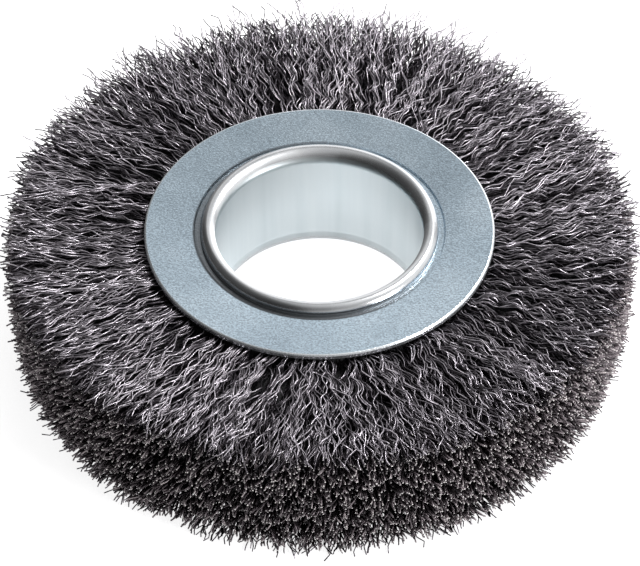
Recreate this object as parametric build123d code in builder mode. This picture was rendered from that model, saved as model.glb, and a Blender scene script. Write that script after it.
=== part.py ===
from build123d import *
import os
from math import asin, cos, degrees, pi, sin

os.makedirs("parts", exist_ok=True)

# Crimped wire wheel brush, in millimetres. The bore axis is Z, the middle of the wheel is the origin,
# and +Z is the side that faces up when the wheel lies down.

# Bore tube, with both ends rolled outwards over the side plates
bore_diameter = 50.8
tube_wall = 1.2
bead_radius = 1.8
bead_lift = 0.5

# Side plates that clamp the wire between them, dished, with a stamped seat for the bead
plate_width = 15.8
plate_thickness = 1.2
plate_edge_radius = 0.5
plate_spacing = 28.0
dish_depth = 0.8
seat_depth = 0.6
seat_slope = 0.3
seat_margin = 1.3
seat_clearance = 0.1

# Steel ring that the wires are folded round
core_ring_thickness = 3.0
core_ring_width = 6.0
fold_thickness = 5.0

# Wire fill: a root clamped by the plates, and rows of locks, each lock a bundle of crimped wire
tip_diameter = 150.0
root_margin = 1.0
valley_margin = 0.5
splay = 0.6
row_count = 5
row_gap = 0.6
locks_per_row = 96
lock_root_share = 0.80
lock_tip_share = 0.60
runs_per_crimped_lock = 4
crimp_depth = 0.75
trim_scatter = 2.4

# Radii and heights that follow from them
bore_radius = bore_diameter / 2
tube_radius = bore_radius + tube_wall
seat_radius = tube_radius + seat_clearance
seat_edge_radius = bore_radius + 2 * bead_radius + seat_margin
plate_radius = seat_radius + plate_width
clamp_height = plate_spacing / 2
plate_face = clamp_height + plate_thickness
seat_face = plate_face - dish_depth - seat_depth
seat_underside = seat_face - plate_thickness
dish_radius = seat_edge_radius + seat_slope
roll_height = seat_face + bead_lift
roll_angle = degrees(asin(bead_lift / bead_radius))
ring_inner_radius = seat_radius + fold_thickness
ring_outer_radius = ring_inner_radius + core_ring_thickness
root_radius = plate_radius + root_margin
valley_radius = root_radius + valley_margin
tip_radius = tip_diameter / 2
stack_height = plate_spacing + 2 * splay
row_height = (stack_height - (row_count - 1) * row_gap) / row_count


# Bore tube: one sheet metal sleeve, each end rolled past half a turn until its edge bears on the plate
with BuildPart() as hub_tube:
    with BuildSketch(Plane.XZ):
        with BuildLine():
            roll_centre = (bore_radius + bead_radius, roll_height)
            bore_wall = Line((bore_radius, 0), (bore_radius, roll_height))
            outer_skin = CenterArc(roll_centre, bead_radius, 180, -180 - roll_angle)
            inner_skin = CenterArc(roll_centre, bead_radius - tube_wall, -roll_angle, 180 + roll_angle)
            Line(outer_skin @ 1, inner_skin @ 0)
            Polyline(inner_skin @ 1, (tube_radius, 0), bore_wall @ 0)
        make_face()
    revolve(axis=Axis.Z)
    mirror(about=Plane.XY)


# Side plates: stamped rings with a flat seat for the bead, a step up from it, and a rounded outer edge
with BuildPart() as front_plate:
    with BuildSketch(Plane.XZ):
        with BuildLine():
            Polyline(
                (seat_radius, seat_underside),
                (seat_edge_radius, seat_underside),
                (dish_radius, seat_underside + seat_depth),
                (plate_radius, clamp_height),
                (plate_radius, plate_face),
                (dish_radius, seat_face + seat_depth),
                (seat_edge_radius, seat_face),
                (seat_radius, seat_face),
                close=True,
            )
        make_face()
    revolve(axis=Axis.Z)
    rim_edges = front_plate.edges().filter_by(GeomType.CIRCLE).group_by(SortBy.RADIUS)[-1]
    fillet(rim_edges.sort_by(Axis.Z)[-1], min(plate_edge_radius, plate_thickness * 0.9))

with BuildPart() as rear_plate:
    mirror(front_plate.part, about=Plane.XY)


# Core ring: a flat steel ring in the fold of the wires
with BuildPart() as core_ring:
    with BuildSketch(Plane.XY.offset(-core_ring_width / 2)):
        Circle(ring_outer_radius)
        Circle(ring_inner_radius, mode=Mode.SUBTRACT)
    extrude(amount=core_ring_width)


def polar(radius, angle):
    return (radius * cos(angle), radius * sin(angle))


def lock_side(middle, half_turn, tip, runs):
    """The middle line and half width of a lock at each kink, with a zigzag if it has several runs."""
    stations = []
    for kink in range(runs + 1):
        share = kink / runs
        radius = valley_radius + share * (tip - valley_radius)
        half_width = half_turn * (lock_root_share + share * (lock_tip_share - lock_root_share))
        swing = (-1) ** kink * crimp_depth / radius if runs > 1 else 0
        stations.append((radius, middle + swing, half_width))
    return stations


def row_outline(row, runs):
    """The toothed outline of one row: each lock goes out along one side and back along the other."""
    half_turn = pi / locks_per_row
    stagger = half_turn * (row % 2)
    outline = []
    for lock in range(locks_per_row):
        middle = 2 * half_turn * lock + stagger
        tip = tip_radius - trim_scatter * (0.5 - 0.5 * sin(2.4 * lock + 1.7 * row))
        stations = lock_side(middle, half_turn, tip, runs)
        outline += [polar(radius, angle - half_width) for radius, angle, half_width in stations]
        outline += [polar(radius, angle + half_width) for radius, angle, half_width in reversed(stations)]
    return outline


# Wire fill: the clamped root with the core ring's seat inside it, then the rows of locks round it,
# staggered from row to row. The two outermost rows, which show their sides, are crimped.
with BuildPart() as wire_fill:
    with BuildSketch(Plane.XZ):
        with BuildLine():
            Polyline(
                (seat_radius, -seat_underside),
                (seat_edge_radius, -seat_underside),
                (dish_radius, -seat_underside - seat_depth),
                (plate_radius, -clamp_height),
                (root_radius, -clamp_height),
                (root_radius, clamp_height),
                (plate_radius, clamp_height),
                (dish_radius, seat_underside + seat_depth),
                (seat_edge_radius, seat_underside),
                (seat_radius, seat_underside),
                close=True,
            )
        make_face()
        with Locations(((ring_inner_radius + ring_outer_radius) / 2, 0)):
            Rectangle(
                core_ring_thickness + 2 * seat_clearance,
                core_ring_width + 2 * seat_clearance,
                mode=Mode.SUBTRACT,
            )
    revolve(axis=Axis.Z)
    for row in range(row_count):
        is_outermost = row in (0, row_count - 1)
        with BuildSketch(Plane.XY.offset(-stack_height / 2 + row * (row_height + row_gap))):
            with BuildLine():
                Polyline(row_outline(row, runs_per_crimped_lock if is_outermost else 1), close=True)
            make_face()
            Circle(root_radius - valley_margin, mode=Mode.SUBTRACT)
    extrude(amount=row_height, clean=False)


hub_tube.part.label = "hub_tube"
front_plate.part.label = "front_plate"
rear_plate.part.label = "rear_plate"
core_ring.part.label = "core_ring"
wire_fill.part.label = "wire_fill"

export_step(hub_tube.part, "parts/hub_tube.step")
export_step(front_plate.part, "parts/front_plate.step")
export_step(rear_plate.part, "parts/rear_plate.step")
export_step(core_ring.part, "parts/core_ring.step")
export_step(wire_fill.part, "parts/wire_fill.step")
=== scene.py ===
import math

import bpy
import numpy as np
from mathutils import Matrix, Vector


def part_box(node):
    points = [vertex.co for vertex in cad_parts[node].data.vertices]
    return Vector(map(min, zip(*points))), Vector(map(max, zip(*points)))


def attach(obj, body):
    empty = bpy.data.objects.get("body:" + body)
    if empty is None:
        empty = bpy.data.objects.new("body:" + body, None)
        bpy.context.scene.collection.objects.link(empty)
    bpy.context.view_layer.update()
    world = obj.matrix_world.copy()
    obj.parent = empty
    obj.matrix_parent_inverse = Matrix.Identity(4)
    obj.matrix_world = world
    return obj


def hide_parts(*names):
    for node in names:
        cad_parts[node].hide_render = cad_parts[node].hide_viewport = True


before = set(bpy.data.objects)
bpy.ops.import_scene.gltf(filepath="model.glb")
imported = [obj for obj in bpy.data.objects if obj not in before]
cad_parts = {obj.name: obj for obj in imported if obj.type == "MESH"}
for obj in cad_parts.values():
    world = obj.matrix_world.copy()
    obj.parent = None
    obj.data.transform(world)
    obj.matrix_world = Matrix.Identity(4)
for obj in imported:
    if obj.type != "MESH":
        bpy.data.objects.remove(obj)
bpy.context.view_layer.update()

MM = 0.001


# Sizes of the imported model, in metres
plate_low, plate_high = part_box("front_plate")
bead_low, bead_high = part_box("hub_tube")
ring_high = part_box("core_ring")[1]
PLATE_RADIUS = plate_high[0]
BEAD_EDGE_RADIUS = bead_high[0]
BEAD_TOP = bead_high[2]
RING_RADIUS = ring_high[0]
RING_TOP = ring_high[2]
TIP_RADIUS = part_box("wire_fill")[1][0]
FLOOR_HEIGHT = bead_low[2]

# Sizes of the stampings that those boxes don't give
PLATE_THICKNESS = 1.2 * MM
TUBE_WALL = 1.2 * MM
BEAD_RADIUS = 1.8 * MM
SEAT_MARGIN = 1.3 * MM
SEAT_SLOPE = 0.3 * MM
SEAT_DEPTH = 0.6 * MM
CLEARANCE = 0.1 * MM
RING_THICKNESS = 3.0 * MM

# What follows from them
CLAMP_HEIGHT = plate_high[2] - PLATE_THICKNESS
SEAT_UNDERSIDE = plate_low[2]
ROLL_RADIUS = BEAD_EDGE_RADIUS - BEAD_RADIUS
SEAT_RADIUS = BEAD_EDGE_RADIUS - 2 * BEAD_RADIUS + TUBE_WALL + CLEARANCE
SEAT_EDGE_RADIUS = BEAD_EDGE_RADIUS + SEAT_MARGIN
DISH_RADIUS = SEAT_EDGE_RADIUS + SEAT_SLOPE

# How the wire face rises from the plate's edge to the tips, and how high and how low a wire may stand
FACE_AT_PLATE = CLAMP_HEIGHT - 0.4 * MM
FACE_AT_TIP = CLAMP_HEIGHT + 2.3 * MM
HIGHEST_WIRE = BEAD_TOP + 2.2 * MM
LOWEST_WIRE = FLOOR_HEIGHT + 0.3 * MM

# The wires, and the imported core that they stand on
FACE_WIRE_RADIUS = 0.165 * MM
RIM_WIRE_RADIUS = 0.225 * MM
FACE_CRIMP = 0.60 * MM
RIM_CRIMP = 0.40 * MM
LARGEST_BUNCH = 3
FACE_BUNCH_SPACING = 0.50 * MM
RIM_BUNCH_SPACING = 0.7 * MM
CORE_DEPTH = 3.0 * MM
CORE_RADIUS = 69.4 * MM

# Shortest and longest wave of the crimp, in millimetres
CRIMP_WAVES = (6.3, 7.7)

# Triangles that each piece of wire may have
FACE_TRIANGLES = 196000
RIM_TRIANGLES = 170000


# Meshes

def mesh_object(name, verts, faces_4, faces_3, smooth_4=True, slots_3=None, values=None):
    """A mesh from quads and triangles, given as index arrays.

    Quads have the first material, triangles the one that slots_3 names. values are kept at the vertices.
    """
    mesh = bpy.data.meshes.new(name)
    quads = np.asarray(faces_4, np.int32).reshape(-1, 4)
    tris = np.asarray(faces_3, np.int32).reshape(-1, 3)
    mesh.vertices.add(len(verts))
    mesh.vertices.foreach_set("co", np.asarray(verts, np.float32).ravel())
    corner_total = quads.size + tris.size
    mesh.loops.add(corner_total)
    mesh.loops.foreach_set("vertex_index", np.concatenate([quads.ravel(), tris.ravel()]))
    starts = np.concatenate([
        np.arange(len(quads), dtype=np.int32) * 4,
        quads.size + np.arange(len(tris), dtype=np.int32) * 3,
    ])
    mesh.polygons.add(len(quads) + len(tris))
    mesh.polygons.foreach_set("loop_start", starts.astype(np.int32))
    smooth = np.concatenate([np.full(len(quads), smooth_4), np.zeros(len(tris), bool)])
    mesh.polygons.foreach_set("use_smooth", smooth)
    if slots_3 is not None:
        slots = np.concatenate([np.zeros(len(quads), np.int32), np.asarray(slots_3, np.int32)])
        mesh.polygons.foreach_set("material_index", slots)
    for key, numbers in (values or {}).items():
        layer = mesh.attributes.new(key, "FLOAT", "POINT")
        layer.data.foreach_set("value", np.asarray(numbers, np.float32).ravel())
    mesh.update(calc_edges=True)
    mesh.validate()
    thing = bpy.data.objects.new(name, mesh)
    bpy.context.scene.collection.objects.link(thing)
    return thing


def unit(v):
    """Vectors of length 1."""
    return v / np.maximum(np.linalg.norm(v, axis=-1, keepdims=True), 1e-12)


def wire_mesh(paths, radii, rng):
    """Three-sided closed wires along paths, an array of wires by points by 3."""
    count, points, _ = paths.shape
    tangent = unit(np.gradient(paths, axis=1))
    chord = unit(paths[:, -1] - paths[:, 0])
    helper = unit(rng.normal(size=(count, 3)))
    side = unit(helper - (helper * chord).sum(1, keepdims=True) * chord)
    first = unit(side[:, None] - (side[:, None] * tangent).sum(2, keepdims=True) * tangent)
    second = np.cross(tangent, first)
    turn = np.arange(3) * 2 * math.pi / 3
    ring = (
        first[:, :, None] * np.cos(turn)[None, None, :, None]
        + second[:, :, None] * np.sin(turn)[None, None, :, None]
    )
    verts = paths[:, :, None] + ring * radii[:, None, None, None]
    base = (np.arange(count) * points * 3)[:, None, None] + (np.arange(points - 1) * 3)[None, :, None]
    here = np.arange(3)[None, None]
    after = (here + 1) % 3
    quads = np.stack([base + here, base + after, base + after + 3, base + here + 3], -1)
    start = (np.arange(count) * points * 3)[:, None]
    end = start + (points - 1) * 3
    caps = np.concatenate([
        np.concatenate([start + 2, start + 1, start], 1),
        np.concatenate([end, end + 1, end + 2], 1),
    ])
    # The inner end has the wire's own material, and the outer end that of a cut end
    cap_slots = np.concatenate([np.zeros(count, int), np.ones(count, int)])
    return verts.reshape(-1, 3), quads.reshape(-1, 4), caps, cap_slots


def join_wires(name, batches, rng):
    """One object from batches of (paths, radii, tone), where tone is one number a point: the wire's own
    tone with painted shade and painted highlight in it.
    """
    verts, quads, caps, slots, tones_and_painted_shading = [], [], [], [], []
    offset = 0
    for paths, radii, tone_and_painted_shading in batches:
        v, q, c, s = wire_mesh(paths, radii, rng)
        verts.append(v)
        quads.append(q + offset)
        caps.append(c + offset)
        slots.append(s)
        tones_and_painted_shading.append(np.repeat(tone_and_painted_shading.ravel(), 3))
        offset += len(v)
    return mesh_object(
        name,
        np.concatenate(verts),
        np.concatenate(quads),
        np.concatenate(caps),
        slots_3=np.concatenate(slots),
        values={"tone_and_painted_shading": np.concatenate(tones_and_painted_shading)},
    )


# The powers of 1 over the plastic number: steps by these fill a plane evenly
EVEN_STEPS = (0.7548776662, 0.5698402910)


class Bunches:
    """Wires in bunches: those of one bunch lie side by side with the same lean and crimp, or nearly."""

    def __init__(self, rng, count, largest, apart):
        sizes = rng.integers(1, largest + 1, count)
        sizes = sizes[: np.searchsorted(np.cumsum(sizes), count) + 1]
        self.rng = rng
        self.bunches = len(sizes)
        self.of_wire = np.repeat(np.arange(self.bunches), sizes)[:count]
        first = np.concatenate([[0], np.cumsum(sizes)])[self.of_wire]
        self.place = (np.arange(count) - first - (sizes[self.of_wire] - 1) / 2) * apart

    def shared(self, draw, spread):
        """One value a wire: the bunch's own, drawn by draw(n), with a small spread inside the bunch."""
        return draw(self.bunches)[self.of_wire] + self.rng.normal(0, spread, len(self.of_wire))

    def evenly(self, which):
        """One value a wire from 0 to 1. Those of which = 0 and 1 together fill a square evenly."""
        return ((0.5 + EVEN_STEPS[which] * np.arange(self.bunches)) % 1.0)[self.of_wire]


def swirl(angle):
    """Lean in radians that neighbouring wires share."""
    return 0.06 * np.sin(5 * angle + 1.3) + 0.06 * np.sin(17 * angle + 4.0)


def far_share(angle):
    """0 at the wheel's near side, at -Y, and 1 at its far side, where the wires stand out further."""
    return (0.5 + 0.5 * np.sin(angle)) ** 1.3


def uneven_trim(angle):
    """How far the tips stand out beyond or short of the nominal radius, round the wheel."""
    lobes = 0.30 * np.sin(5 * angle + 1.0) + 0.25 * np.sin(11 * angle + 2.0)
    return (0.5 + 2.2 * far_share(angle) + lobes) * MM


def ring_drift(angle):
    """Phase in radians by which the rings that the crimps line up in drift round the wheel."""
    return 1.6 * np.sin(3 * angle + 0.7) + 1.1 * np.sin(8 * angle + 2.9)


def crimped(bunches, angle, begins, length, heights, lean, points, crimp):
    """Paths of crimped wires that run outwards and lean. heights are those at the start, middle and end."""
    rng = bunches.rng
    count = len(angle)
    share = np.linspace(0, 1, points)[None]
    run = share * length[:, None]
    out = np.stack([np.cos(angle), np.sin(angle), np.zeros(count)], -1)
    across = np.stack([-np.sin(angle), np.cos(angle), np.zeros(count)], -1)
    up = np.array([0.0, 0.0, 1.0])[None]
    bend = bunches.shared(lambda n: rng.normal(0, 0.12, n), 0.05)[:, None] * run * share
    wave = bunches.shared(lambda n: rng.uniform(*CRIMP_WAVES, n), 0.15)[:, None] * MM
    phase = bunches.shared(lambda n: rng.normal(0, 0.8, n), 0.35)[:, None]
    # Phase by radius, so that the crimps of neighbours line up in rings
    phase = phase + 2 * math.pi * (begins - PLATE_RADIUS)[:, None] / wave + ring_drift(angle)[:, None]
    turn = bunches.shared(lambda n: rng.uniform(-0.10 * math.pi, 0.28 * math.pi, n), 0.25)[:, None]
    depth = crimp * rng.uniform(0.6, 1.4, count)[:, None]
    swing = depth * np.sin(2 * math.pi * run / wave + phase)
    second = 0.22 * depth * np.sin(4.6 * math.pi * run / wave + 2.1 * phase)
    sideways = run * np.sin(lean)[:, None] + bend + swing * np.cos(turn) + second
    start, middle, end = (height[:, None] for height in heights)
    pull = 2 * middle - 0.5 * (start + end)
    upwards = start * (1 - share) ** 2 + 2 * pull * share * (1 - share) + end * share ** 2
    upwards = upwards + swing * np.sin(turn)
    outwards = begins[:, None] + run * np.cos(lean)[:, None]
    return (
        outwards[..., None] * out[:, None]
        + sideways[..., None] * across[:, None]
        + upwards[..., None] * up[:, None]
    )


def face_height(radius, angle):
    """Height of the wire face over the middle plane."""
    share = np.clip((radius - PLATE_RADIUS) / (TIP_RADIUS - PLATE_RADIUS), 0, 1.2)
    flare = 1.0 * MM * far_share(angle) * share ** 2
    return FACE_AT_PLATE + (FACE_AT_TIP - FACE_AT_PLATE) * share + flare


def wire_span(kind, bunches, reach):
    """Where wires of a kind begin and end, how far below the others they begin, and which are cut short.

    Wires that go through run from under the plate to the tips. Outer ones come up on the way and end at the
    tips, or a little before. Passing ones show only for a while between the others.
    """
    rng = bunches.rng
    count = len(reach)
    short = np.zeros(count, bool)
    earliest = PLATE_RADIUS - 1 * MM
    if kind == "through":
        begins = PLATE_RADIUS - rng.uniform(0.6, 1.6, count) * MM
        dive = rng.uniform(0.1, 0.5, count) * MM
    elif kind == "outer":
        room = TIP_RADIUS - 10 * MM - PLATE_RADIUS
        begins = PLATE_RADIUS + 1 * MM + room * np.sqrt(bunches.evenly(1)) + rng.normal(0, 1.2, count) * MM
        begins = np.maximum(begins, earliest)
        dive = rng.uniform(0.8, 1.8, count) * MM
        short_share = 0.4
        shortest = 6 * MM
        short = rng.random(count) < short_share
        reach = reach - short * rng.uniform(0.5, 8.0, count) * MM
        reach = np.maximum(reach, begins + shortest)
    else:
        begins = earliest + 22 * MM * bunches.evenly(1) + rng.normal(0, 0.8, count) * MM
        begins = np.maximum(begins, earliest)
        reach = np.minimum(reach, begins + rng.uniform(9.0, 13.0, count) * MM)
        dive = rng.uniform(0.6, 1.6, count) * MM
    return begins, reach, dive, short


def tip_height(kind, rng, reach, angle, depth, strays, short):
    """Height of the outer ends. Strays and those cut short poke up, and passing ones dive under others."""
    count = len(reach)
    height = face_height(reach, angle) - depth * rng.uniform(0.2, 1.2, count)
    height = height - rng.exponential(0.45, count) * MM
    if kind == "passing":
        return height - rng.uniform(0.6, 1.8, count) * MM
    height = height + 0.4 * strays
    if kind == "outer":
        height = height + short * rng.uniform(0.4, 1.5, count) * MM
    return height


def face_batch(kind, rng, count, points):
    """Paths of one kind of wires on the upper face, and their tones with painted shade deep in the fill."""
    bunches = Bunches(rng, count, LARGEST_BUNCH, FACE_BUNCH_SPACING)
    angle = 2 * math.pi * (bunches.evenly(0) + rng.normal(0, 0.0012, bunches.bunches)[bunches.of_wire])
    far = far_share(angle)
    stray_share = 0.10 + 0.25 * far
    longest_stray = 0.9 + 5.6 * far ** 3
    strays = np.where(rng.random(count) < stray_share, rng.exponential(0.6 + 2.2 * far, count), 0)
    strays = np.minimum(strays, longest_stray) * MM
    reach = TIP_RADIUS + uneven_trim(angle) + strays
    reach = reach + np.clip(bunches.shared(lambda n: rng.normal(-0.8, 1.0, n), 0.7), -3.6, 1.1) * MM
    depth = np.abs(bunches.shared(lambda n: rng.exponential(0.85, n), 0.35)) * MM
    depth = np.minimum(depth, CORE_DEPTH)
    begins, reach, dive, short = wire_span(kind, bunches, reach)
    length = reach - begins
    start = face_height(begins, angle) - depth - dive
    halfway = face_height(begins + 0.5 * length, angle) - depth * rng.uniform(0.6, 1.1, count)
    last = tip_height(kind, rng, reach, angle, depth, strays, short)
    lean = bunches.shared(lambda n: rng.normal(0, 0.22, n), 0.07) + swirl(angle)
    angle = angle + bunches.place / (begins + 0.5 * length) - 0.45 * length * np.sin(lean) / reach
    paths = crimped(bunches, angle, begins, length, (start, halfway, last), lean, points, FACE_CRIMP)
    # Nothing rises through the side plate or far above the bead
    radius = np.hypot(paths[..., 0], paths[..., 1])
    lid = CLAMP_HEIGHT - 0.25 * MM + np.maximum(radius - PLATE_RADIUS - 0.3 * MM, 0) * 1.5
    paths[..., 2] = np.minimum(np.minimum(paths[..., 2], lid), HIGHEST_WIRE)
    # Painted shade: wires deep below the face are darker, as if shaded by the wires above, over a random
    # tone a wire
    top_tone = 0.86
    painted_shade_depth = 1.9 * MM
    below = face_height(radius, angle[:, None]) - paths[..., 2]
    tone_and_painted_shading = top_tone - below / painted_shade_depth + rng.normal(0, 0.22, count)[:, None]
    return paths, np.clip(tone_and_painted_shading, 0, 1)


def wires_within(triangles, points):
    """How many wires of so many points a number of triangles allows, with two for the ends of each."""
    return int(triangles / (6 * (points - 1) + 2))


def face_wires(name, seed, upper):
    """Wires that show on one face of the fill, or their mirror image on the other, clear of the floor."""
    rng = np.random.default_rng(seed)
    batches = []
    # Kind, share of the triangles, points a wire
    for kind, share, points in (("through", 0.50, 25), ("outer", 0.32, 13), ("passing", 0.18, 9)):
        count = wires_within(FACE_TRIANGLES * share, points)
        paths, tone_and_painted_shading = face_batch(kind, rng, count, points)
        if not upper:
            paths[..., 2] = np.maximum(-paths[..., 2], LOWEST_WIRE)
        batches.append((paths, np.full(count, FACE_WIRE_RADIUS), tone_and_painted_shading))
    return join_wires(name, batches, rng)


def rim_wires(name, seed):
    """Wire ends that show on the rim, between the two faces."""
    rng = np.random.default_rng(seed)
    # Painted shade along a rim wire, darkest at its inner end
    painted_shade_along = np.array([0.0, 0.25, 0.7, 1.0])
    points = len(painted_shade_along)
    count = wires_within(RIM_TRIANGLES, points)
    bunches = Bunches(rng, count, LARGEST_BUNCH, RIM_BUNCH_SPACING)
    angle = 2 * math.pi * bunches.evenly(0)
    far = far_share(angle)
    stray_share = 0.08
    longest_stray = 1.0 + 2.5 * far
    strays = np.where(rng.random(count) < stray_share, rng.exponential(0.8 + far, count), 0.0)
    strays = np.minimum(strays, longest_stray) * MM
    highest = CLAMP_HEIGHT + 1.3 * MM
    height = (2 * bunches.evenly(1) - 1) * highest + rng.normal(0, 0.35, count) * MM
    length = rng.uniform(4.2, 5.6, count) * MM
    reach = TIP_RADIUS + 0.6 * uneven_trim(angle) + strays
    standing = rng.random(count)
    reach = reach + (3.9 * standing - 2.6 + rng.normal(0, 0.3, count)) * MM
    # The rim is rounded off towards both faces
    reach = reach - 1.2 * MM * np.clip(np.abs(height) / FACE_AT_TIP - 0.7, 0, 1) / 0.3
    lean = bunches.shared(lambda n: rng.normal(0, 0.16, n), 0.08)
    slope = rng.normal(0, 0.13, count) + 0.10 * height / FACE_AT_TIP
    heights = (height - slope * length, height - 0.5 * slope * length, height)
    angle = angle + bunches.place / reach
    paths = crimped(bunches, angle, reach - length, length, heights, lean, points, RIM_CRIMP)
    paths[..., 2] = np.clip(paths[..., 2], LOWEST_WIRE, -LOWEST_WIRE)
    # Painted highlight: the ends that stand out furthest are brighter, as if they caught the light, over a
    # random tone; painted shade darkens each wire towards its inner end
    painted_tip_highlight = 0.08 + 0.55 * standing ** 1.5 + rng.normal(0, 0.12, count)
    tone_and_painted_shading = np.clip(painted_tip_highlight, 0.05, 1)[:, None] * painted_shade_along[None]
    return join_wires(name, [(paths, np.full(count, RIM_WIRE_RADIUS), tone_and_painted_shading)], rng)


def revolved(name, loops, around, rng):
    """A closed mesh from closed outlines of (radius, height), turned about Z, each with its unevenness."""
    verts, quads = [], []
    for loop, unevenness in loops:
        start = len(verts)
        for step in range(around):
            turn = 2 * math.pi * step / around
            for r, z in loop:
                rough = unevenness if r > PLATE_RADIUS else 0.0
                radius = r + rng.uniform(-rough, rough)
                height = z + rng.uniform(-rough, rough)
                verts.append((radius * math.cos(turn), radius * math.sin(turn), height))
        n = len(loop)
        for step in range(around):
            here = start + step * n
            ahead = start + (step + 1) % around * n
            for corner in range(n):
                following = (corner + 1) % n
                quads.append((here + corner, here + following, ahead + following, ahead + corner))
    return mesh_object(name, np.array(verts), np.array(quads), np.zeros((0, 3), int), smooth_4=False)


def packed_core(name):
    """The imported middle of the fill, too dense to see into, with the core ring's pocket inside it."""
    steps = 720
    unevenness = 0.5 * MM
    under = 0.06 * MM
    top = CLAMP_HEIGHT - under
    face = CLAMP_HEIGHT - CORE_DEPTH
    upper_side = [
        (SEAT_RADIUS, SEAT_UNDERSIDE - under),
        (SEAT_EDGE_RADIUS, SEAT_UNDERSIDE - under),
        (DISH_RADIUS + under, SEAT_UNDERSIDE + SEAT_DEPTH - under),
        (PLATE_RADIUS - 1.2 * MM, top - 0.15 * MM),
        (PLATE_RADIUS + 0.4 * MM, face),
        (50 * MM, face + 0.4 * MM),
        (60 * MM, face + 0.7 * MM),
        (CORE_RADIUS - 1.6 * MM, face + 0.4 * MM),
        (CORE_RADIUS, face - 2.0 * MM),
    ]
    outline = upper_side + [(CORE_RADIUS, 0)] + [(r, -z) for r, z in reversed(upper_side)]
    inner = RING_RADIUS - RING_THICKNESS - CLEARANCE
    outer = RING_RADIUS + CLEARANCE
    half_width = RING_TOP + CLEARANCE
    pocket = [(outer, -half_width), (outer, half_width), (inner, half_width), (inner, -half_width)]
    return revolved(name, ((outline, unevenness), (pocket, 0.0)), steps, np.random.default_rng(5))


# Shader nodes

def feed(links, value, socket):
    """Links another node's output to a socket, or writes a plain value into it."""
    if hasattr(value, "is_linked"):
        links.new(value, socket)
    else:
        socket.default_value = value


def material(name):
    """A new material, with its nodes, its links and its shader."""
    mat = bpy.data.materials.new(name)
    mat.use_nodes = True
    nodes, links = mat.node_tree.nodes, mat.node_tree.links
    return mat, nodes, links, nodes["Principled BSDF"]


def ramp(nodes, links, source, stops):
    """Colour by a value, through stops of (place, colour)."""
    node = nodes.new("ShaderNodeValToRGB")
    while len(node.color_ramp.elements) < len(stops):
        node.color_ramp.elements.new(0.5)
    for element, (place, colour) in zip(node.color_ramp.elements, stops):
        element.position = place
        element.color = (*colour, 1.0)
    links.new(source, node.inputs["Fac"])
    return node.outputs["Color"]


def noise(nodes, links, scale, detail, stretch=None):
    """Noise in object coordinates; stretch scales the three axes."""
    source = nodes.new("ShaderNodeTexCoord").outputs["Object"]
    if stretch:
        mapping = nodes.new("ShaderNodeMapping")
        mapping.inputs["Scale"].default_value = stretch
        links.new(source, mapping.inputs["Vector"])
        source = mapping.outputs["Vector"]
    tex = nodes.new("ShaderNodeTexNoise")
    tex.inputs["Scale"].default_value = scale
    tex.inputs["Detail"].default_value = detail
    links.new(source, tex.inputs["Vector"])
    return tex.outputs["Fac"]


def map_range(nodes, links, source, low, high, from_low=0.0, from_high=1.0):
    """A value between low and high, as the source goes between from_low and from_high."""
    node = nodes.new("ShaderNodeMapRange")
    node.inputs["From Min"].default_value = from_low
    node.inputs["From Max"].default_value = from_high
    node.inputs["To Min"].default_value = low
    node.inputs["To Max"].default_value = high
    links.new(source, node.inputs["Value"])
    return node.outputs["Result"]


def smooth_range(nodes, links, source, low, high, from_low, from_high):
    """The same as map_range, with a smooth start and end."""
    result = map_range(nodes, links, source, low, high, from_low, from_high)
    result.node.interpolation_type = "SMOOTHSTEP"
    return result


def maths(nodes, links, operation, *values):
    """A Math node's result; each value is a number or another node's output."""
    node = nodes.new("ShaderNodeMath")
    node.operation = operation
    for value, socket in zip(values, node.inputs):
        feed(links, value, socket)
    return node.outputs["Value"]


def vector_maths(nodes, links, operation, *values):
    """A Vector Math node; each value is a vector or another node's output."""
    node = nodes.new("ShaderNodeVectorMath")
    node.operation = operation
    for value, socket in zip(values, node.inputs):
        feed(links, value, socket)
    return node


def mix_colour(nodes, links, factor, a, b, mode="MIX"):
    """Colour a mixed with colour b; each is a colour or another node's output."""
    node = nodes.new("ShaderNodeMix")
    node.data_type = "RGBA"
    node.blend_type = mode
    for value, socket in ((factor, node.inputs[0]), (a, node.inputs[6]), (b, node.inputs[7])):
        feed(links, value, socket)
    return node.outputs[2]


def distance_from_axis(nodes, links):
    """Radius in metres, in object coordinates."""
    coords = nodes.new("ShaderNodeTexCoord")
    flat = vector_maths(nodes, links, "MULTIPLY", coords.outputs["Object"], (1, 1, 0))
    return vector_maths(nodes, links, "LENGTH", flat.outputs["Vector"]).outputs["Value"]


def along_direction(nodes, links, direction):
    """How far a point lies along a direction, in metres, in object coordinates."""
    coords = nodes.new("ShaderNodeTexCoord")
    return vector_maths(nodes, links, "DOT_PRODUCT", coords.outputs["Object"], direction).outputs["Value"]


def tone_and_shading_ramp(nodes, links, stops):
    """Colour by the value that the wires keep at their vertices: their tone, with painted shade and painted
    highlight in it.
    """
    tone_and_painted_shading = nodes.new("ShaderNodeAttribute")
    tone_and_painted_shading.attribute_name = "tone_and_painted_shading"
    return ramp(nodes, links, tone_and_painted_shading.outputs["Fac"], stops)


def relief(nodes, links, shader, height, strength, distance, normal=None):
    """Fine relief from a height, in metres, on top of a normal where one is given."""
    bump = nodes.new("ShaderNodeBump")
    bump.inputs["Strength"].default_value = strength
    bump.inputs["Distance"].default_value = distance
    links.new(height, bump.inputs["Height"])
    if normal:
        links.new(normal, bump.inputs["Normal"])
    links.new(bump.outputs["Normal"], shader.inputs["Normal"])


# Materials

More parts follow.
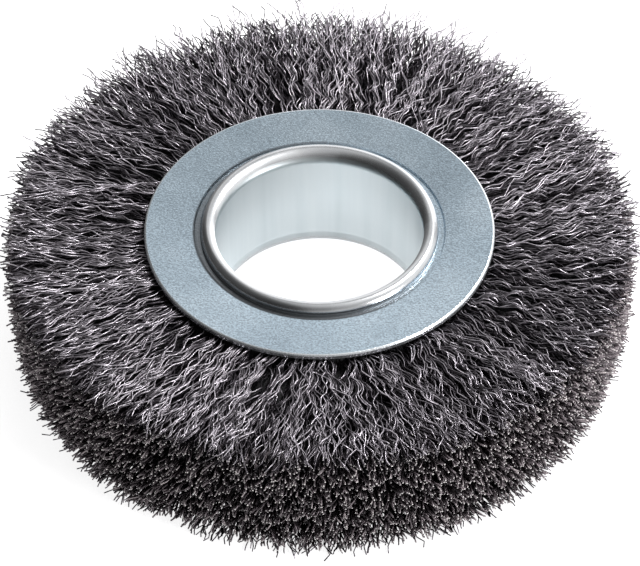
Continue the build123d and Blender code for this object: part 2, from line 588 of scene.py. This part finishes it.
def wire_steel(name, dark, mid, light, rough):
    """Drawn steel wire with stains along it, dark where painted shade lies deep in the fill and bright on
    top and where painted highlight marks the rim.
    """
    mat, nodes, links, shader = material(name)
    colour = tone_and_shading_ramp(nodes, links, ((0.0, dark), (0.5, mid), (1.0, light)))
    stain = map_range(nodes, links, noise(nodes, links, 420.0, 2.0), 0.62, 1.12, 0.3, 0.7)
    links.new(mix_colour(nodes, links, 1.0, colour, stain, "MULTIPLY"), shader.inputs["Base Color"])
    shader.inputs["Metallic"].default_value = 0.85
    patch = map_range(nodes, links, noise(nodes, links, 900.0, 2.0), rough - 0.08, rough + 0.1)
    links.new(patch, shader.inputs["Roughness"])
    return mat


def cut_end(name):
    """The cut end of a wire: bright cut steel, with painted highlight where the wire stands out and painted
    shade where it lies deep.
    """
    mat, nodes, links, shader = material(name)
    stops = ((0.06, (0.14, 0.13, 0.135)), (0.3, (0.62, 0.59, 0.59)), (0.5, (1.0, 0.97, 0.94)))
    links.new(tone_and_shading_ramp(nodes, links, stops), shader.inputs["Base Color"])
    shader.inputs["Metallic"].default_value = 0.2
    shader.inputs["Roughness"].default_value = 0.45
    return mat


def packed_wire_painted_shade(name):
    """Painted shade for the depth of the fill, with painted streaks where packed wires catch a little
    light.
    """
    mat, nodes, links, shader = material(name)
    streaks = noise(nodes, links, 1500.0, 4.0)
    # Painted shade: nearly black for the shade deep in the fill, with painted highlights along the streaks
    colour = ramp(nodes, links, streaks, ((0.45, (0.006, 0.006, 0.007)), (0.75, (0.045, 0.043, 0.048))))
    links.new(colour, shader.inputs["Base Color"])
    shader.inputs["Metallic"].default_value = 0.3
    shader.inputs["Roughness"].default_value = 0.75
    relief(nodes, links, shader, streaks, 0.8, 0.6 * MM)
    return mat


def seat_painted_shade(nodes, links, base):
    """Painted shade in a plate's seat: grey on the near side up to a painted black shadow line, and a
    lighter grey at the far left that dulls a reflection.
    """
    radius = distance_from_axis(nodes, links)
    seat = smooth_range(nodes, links, radius, 1.0, 0.0, DISH_RADIUS - 0.1 * MM, DISH_RADIUS + 0.4 * MM)
    # Painted shadow: a black line just inside the seat's edge, with grey painted shade further in
    shadow_line = smooth_range(nodes, links, radius, 0.0, 1.0, DISH_RADIUS - 0.9 * MM, DISH_RADIUS - 0.4 * MM)
    near_shade_colour = mix_colour(nodes, links, shadow_line, (0.24, 0.25, 0.265, 1), (0.03, 0.03, 0.032, 1))
    # Painted shade and shadow on the near side, where the bead's shadow falls
    near = along_direction(nodes, links, (-0.40, -0.92, 0))
    amount = smooth_range(nodes, links, near, 0.0, 0.94, -2 * MM, 26 * MM)
    base = mix_colour(nodes, links, maths(nodes, links, "MULTIPLY", seat, amount), base, near_shade_colour)
    # Painted shade at the far left, dulling a reflection in the seat
    far_left = along_direction(nodes, links, (-0.75, 0.66, 0))
    amount = smooth_range(nodes, links, far_left, 0.0, 0.7, 8 * MM, 24 * MM)
    far_left_shade_colour = (0.16, 0.17, 0.18, 1)
    return mix_colour(nodes, links, maths(nodes, links, "MULTIPLY", seat, amount), base, far_left_shade_colour)


def zinc_plate(name):
    """Zinc-plated sheet: faint blue, clouded and grained, with a painted highlight on the outer edge and
    painted shade in the seat.
    """
    mat, nodes, links, shader = material(name)
    cloud = noise(nodes, links, 45.0, 4.0)
    grain = noise(nodes, links, 2300.0, 3.0)
    tints = ((0.34, (0.38, 0.465, 0.535)), (0.52, (0.43, 0.525, 0.60)), (0.68, (0.49, 0.585, 0.66)))
    fleck = map_range(nodes, links, grain, 0.71, 1.13, 0.35, 0.65)
    base = mix_colour(nodes, links, 1.0, ramp(nodes, links, cloud, tints), fleck, "MULTIPLY")
    radius = distance_from_axis(nodes, links)
    # Painted highlight: the outer edge is lighter, as if its rounding caught the light
    edge_highlight = smooth_range(nodes, links, radius, 0.0, 1.0, PLATE_RADIUS - 0.7 * MM, PLATE_RADIUS - 0.3 * MM)
    base = mix_colour(nodes, links, edge_highlight, base, (0.90, 0.94, 0.97, 1))
    links.new(seat_painted_shade(nodes, links, base), shader.inputs["Base Color"])
    shader.inputs["Metallic"].default_value = 0.85
    links.new(map_range(nodes, links, cloud, 0.17, 0.26), shader.inputs["Roughness"])
    relief(nodes, links, shader, grain, 0.22, 0.2 * MM)
    return mat


def gentle_turn(nodes, links, coords, z, height):
    """Normals that begin to turn 3 mm below the roll, as if the bore curved into the bead more slowly."""
    begins = BEAD_TOP - BEAD_RADIUS - 3.1 * MM
    rise = smooth_range(nodes, links, height, 0.0, 1.0, begins, BEAD_TOP - BEAD_RADIUS)
    radius = distance_from_axis(nodes, links)
    inside = smooth_range(nodes, links, radius, 1.0, 0.0, ROLL_RADIUS - 0.1 * MM, ROLL_RADIUS + 0.1 * MM)
    amount = maths(nodes, links, "MULTIPLY", rise, inside)
    turn = nodes.new("ShaderNodeCombineXYZ")
    links.new(maths(nodes, links, "MULTIPLY", amount, maths(nodes, links, "SIGN", z)), turn.inputs["Z"])
    total = vector_maths(nodes, links, "ADD", coords.outputs["Normal"], turn.outputs["Vector"])
    world = nodes.new("ShaderNodeVectorTransform")
    world.vector_type = "NORMAL"
    world.convert_from = "OBJECT"
    world.convert_to = "WORLD"
    links.new(total.outputs["Vector"], world.inputs["Vector"])
    return vector_maths(nodes, links, "NORMALIZE", world.outputs["Vector"]).outputs["Vector"]


def zinc_tube(name):
    """Zinc-plated tube: satin and faintly streaked in the bore, with painted shade darker towards its top,
    and polished on the rolled ends.
    """
    mat, nodes, links, shader = material(name)
    coords = nodes.new("ShaderNodeTexCoord")
    parts = nodes.new("ShaderNodeSeparateXYZ")
    links.new(coords.outputs["Object"], parts.inputs["Vector"])
    z = parts.outputs["Z"]
    height = maths(nodes, links, "ABSOLUTE", z)
    rolled = map_range(nodes, links, height, 0.0, 1.0, BEAD_TOP - 2.6 * MM, BEAD_TOP - 1.6 * MM)
    streak = noise(nodes, links, 260.0, 3.0, stretch=(1.0, 1.0, 0.06))
    cloud = noise(nodes, links, 70.0, 3.0)
    bore_tints = ((0.25, (0.53, 0.585, 0.605)), (0.5, (0.58, 0.63, 0.65)), (0.8, (0.63, 0.675, 0.69)))
    # Painted shade: the bore is darker towards its top and a little lighter towards its bottom
    painted_shade_by_height = smooth_range(nodes, links, z, 1.04, 0.86, -6 * MM, 12 * MM)
    bore = mix_colour(nodes, links, 1.0, ramp(nodes, links, streak, bore_tints), painted_shade_by_height, "MULTIPLY")
    shine = ramp(nodes, links, cloud, ((0.3, (0.60, 0.62, 0.64)), (0.7, (0.71, 0.72, 0.735))))
    links.new(mix_colour(nodes, links, rolled, bore, shine), shader.inputs["Base Color"])
    shader.inputs["Metallic"].default_value = 1.0
    satin = map_range(nodes, links, streak, 0.34, 0.50)
    mirror = map_range(nodes, links, cloud, 0.17, 0.27)
    blend = nodes.new("ShaderNodeMix")
    blend.data_type = "FLOAT"
    for value, socket in ((rolled, blend.inputs[0]), (satin, blend.inputs[2]), (mirror, blend.inputs[3])):
        links.new(value, socket)
    links.new(blend.outputs[0], shader.inputs["Roughness"])
    relief(nodes, links, shader, streak, 0.10, 0.2 * MM, gentle_turn(nodes, links, coords, z, height))
    return mat


def dress(node, mat):
    """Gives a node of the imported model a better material."""
    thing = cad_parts[node]
    for place in thing.material_slots:
        place.material = mat
    if not thing.material_slots:
        thing.data.materials.append(mat)


plate_steel = zinc_plate("zinc_plate")
dress("front_plate", plate_steel)
dress("rear_plate", plate_steel)
dress("hub_tube", zinc_tube("zinc_tube"))
dress("core_ring", zinc_plate("plain_ring_steel"))

# The dark end of each wire ramp is painted shade deep in the fill; the light end is the wires on top and,
# on the rim, painted highlight
face_steel = wire_steel("wire_face", (0.010, 0.008, 0.011), (0.080, 0.070, 0.082), (0.60, 0.56, 0.61), 0.34)
rim_steel = wire_steel("wire_rim", (0.020, 0.016, 0.019), (0.22, 0.188, 0.203), (0.75, 0.68, 0.68), 0.42)
end_steel = cut_end("wire_cut_end")


# Pieces

core = packed_core("packed_core")
core.data.materials.append(packed_wire_painted_shade("packed_wire_painted_shade"))

WIRES = [
    (face_wires("upper_wires_a", 11, True), face_steel),
    (face_wires("upper_wires_b", 12, True), face_steel),
    (face_wires("lower_wires", 13, False), face_steel),
    (rim_wires("rim_wires_a", 14), rim_steel),
    (rim_wires("rim_wires_b", 15), rim_steel),
]
for piece, steel in WIRES:
    piece.data.materials.append(steel)
    piece.data.materials.append(end_steel)

for piece in [core] + [wires for wires, _ in WIRES]:
    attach(piece, "root")
    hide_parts("wire_fill")


# Floor, light and camera

FLOOR_HALF_WIDTH = 3.0
FLOOR_GLOW = 0.84

# Levels of the light tent. By depth they run from the front horizon over the top to the horizon behind, and
# by width from left to right. It is bright low behind the wheel and at the right, and dim at the left.
LEVEL_BY_DEPTH = (
    (0.0, 0.32), (0.05, 0.24), (0.15, 0.18), (0.295, 0.27), (0.46, 0.41), (0.635, 0.45),
    (0.76, 0.50), (0.81, 0.20), (0.835, 0.26), (0.86, 0.52), (0.885, 1.0), (1.0, 0.90),
)
LEVEL_BY_WIDTH = (
    (0.0, 0.05), (0.25, 0.08), (0.38, 0.16), (0.46, 0.55), (0.55, 0.58), (0.61, 0.90), (0.70, 1.0),
)
TENT_STRENGTH = 2.4
TENT_LIGHTING = 0.8

# The photograph's camera: focal length and shifts in pixels, sensor in millimetres, distance in metres
PICTURE_WIDTH = 640
FOCAL_LENGTH = 2018.0
SHIFT_RIGHT = 0.3
SHIFT_UP = -14.74
SENSOR_WIDTH = 36.0
CAMERA_DISTANCE = 0.5
CAMERA_ELEVATION = math.radians(45.89)
CAMERA_ROLL = math.radians(-0.33)


def seen_directly_or_in_metal(nodes, links):
    """1 for what the camera sees, also in a reflection, and 0 for what only lights the scene."""
    path = nodes.new("ShaderNodeLightPath")
    return maths(nodes, links, "MAXIMUM", path.outputs["Is Camera Ray"], path.outputs["Is Glossy Ray"])


def plain_floor():
    """A pale floor that looks nearly white and keeps the wheel's shadow."""
    half = FLOOR_HALF_WIDTH
    corners = ((-half, -half), (half, -half), (half, half), (-half, half))
    mesh = bpy.data.meshes.new("floor")
    mesh.from_pydata([(x, y, FLOOR_HEIGHT) for x, y in corners], [], [(0, 1, 2, 3)])
    floor = bpy.data.objects.new("floor", mesh)
    bpy.context.scene.collection.objects.link(floor)
    mat, nodes, links, shader = material("pale_floor")
    shader.inputs["Base Color"].default_value = (0.86, 0.86, 0.87, 1)
    shader.inputs["Roughness"].default_value = 0.9
    shader.inputs["Specular IOR Level"].default_value = 0.1
    glow = nodes.new("ShaderNodeEmission")
    glow.inputs["Color"].default_value = (1, 1, 1, 1)
    level = maths(nodes, links, "MULTIPLY", seen_directly_or_in_metal(nodes, links), FLOOR_GLOW)
    links.new(level, glow.inputs["Strength"])
    both = nodes.new("ShaderNodeAddShader")
    links.new(shader.outputs["BSDF"], both.inputs[0])
    links.new(glow.outputs["Emission"], both.inputs[1])
    links.new(both.outputs["Shader"], nodes["Material Output"].inputs["Surface"])
    mesh.materials.append(mat)


def softbox(name, place, width, watts):
    """A square lamp aimed at the wheel."""
    data = bpy.data.lights.new(name, "AREA")
    data.shape = "RECTANGLE"
    data.size = width
    data.size_y = width
    data.energy = watts
    lamp = bpy.data.objects.new(name, data)
    bpy.context.scene.collection.objects.link(lamp)
    lamp.location = place
    lamp.rotation_euler = (-Vector(place)).to_track_quat("-Z", "Y").to_euler()


def tent_level(nodes, links):
    """Brightness of the tent by direction, with a white band at the horizon for the floor to run into."""
    parts = nodes.new("ShaderNodeSeparateXYZ")
    links.new(nodes.new("ShaderNodeTexCoord").outputs["Generated"], parts.inputs["Vector"])
    shares = []
    for axis, levels in (("Y", LEVEL_BY_DEPTH), ("X", LEVEL_BY_WIDTH)):
        place = map_range(nodes, links, parts.outputs[axis], 0.0, 1.0, -1.0, 1.0)
        shares.append(ramp(nodes, links, place, [(stop, (level, level, level)) for stop, level in levels]))
    level = maths(nodes, links, "MULTIPLY", maths(nodes, links, "MULTIPLY", *shares), TENT_STRENGTH)
    horizon = smooth_range(nodes, links, parts.outputs["Z"], 1.0, 0.0, 0.02, 0.07)
    return maths(nodes, links, "MAXIMUM", level, horizon)


def light_tent():
    """The world: a tent of soft light, a little dimmer as a light than where it is seen."""
    world = bpy.data.worlds.new("studio")
    bpy.context.scene.world = world
    world.use_nodes = True
    nodes, links = world.node_tree.nodes, world.node_tree.links
    level = tent_level(nodes, links)
    shown = nodes["Background"]
    lighting = nodes.new("ShaderNodeBackground")
    dimmer = maths(nodes, links, "MULTIPLY", level, TENT_LIGHTING)
    for background, strength in ((shown, level), (lighting, dimmer)):
        background.inputs["Color"].default_value = (1.0, 1.0, 1.0, 1.0)
        links.new(strength, background.inputs["Strength"])
    mix = nodes.new("ShaderNodeMixShader")
    links.new(seen_directly_or_in_metal(nodes, links), mix.inputs[0])
    links.new(lighting.outputs["Background"], mix.inputs[1])
    links.new(shown.outputs["Background"], mix.inputs[2])
    links.new(mix.outputs["Shader"], nodes["World Output"].inputs["Surface"])


def photo_camera():
    """The camera in front of the wheel and above it, aimed at the origin."""
    data = bpy.data.cameras.new("camera")
    data.sensor_fit = "HORIZONTAL"
    data.sensor_width = SENSOR_WIDTH
    data.lens = FOCAL_LENGTH / PICTURE_WIDTH * SENSOR_WIDTH
    data.shift_x = SHIFT_RIGHT / PICTURE_WIDTH
    data.shift_y = SHIFT_UP / PICTURE_WIDTH
    data.clip_start = 0.01
    data.clip_end = 20
    camera = bpy.data.objects.new("camera", data)
    bpy.context.scene.collection.objects.link(camera)
    bpy.context.scene.camera = camera
    place = Vector((0, -math.cos(CAMERA_ELEVATION), math.sin(CAMERA_ELEVATION))) * CAMERA_DISTANCE
    look = (-place).to_track_quat("-Z", "Y").to_matrix().to_4x4()
    camera.matrix_world = Matrix.Translation(place) @ look @ Matrix.Rotation(CAMERA_ROLL, 4, "Z")


plain_floor()
light_tent()
softbox("key", place=(0.31, 0.29, 0.60), width=0.16, watts=3.8)
softbox("side", place=(0.50, -0.33, 0.22), width=0.20, watts=1.8)
photo_camera()

bpy.context.scene.view_settings.view_transform = "Standard"
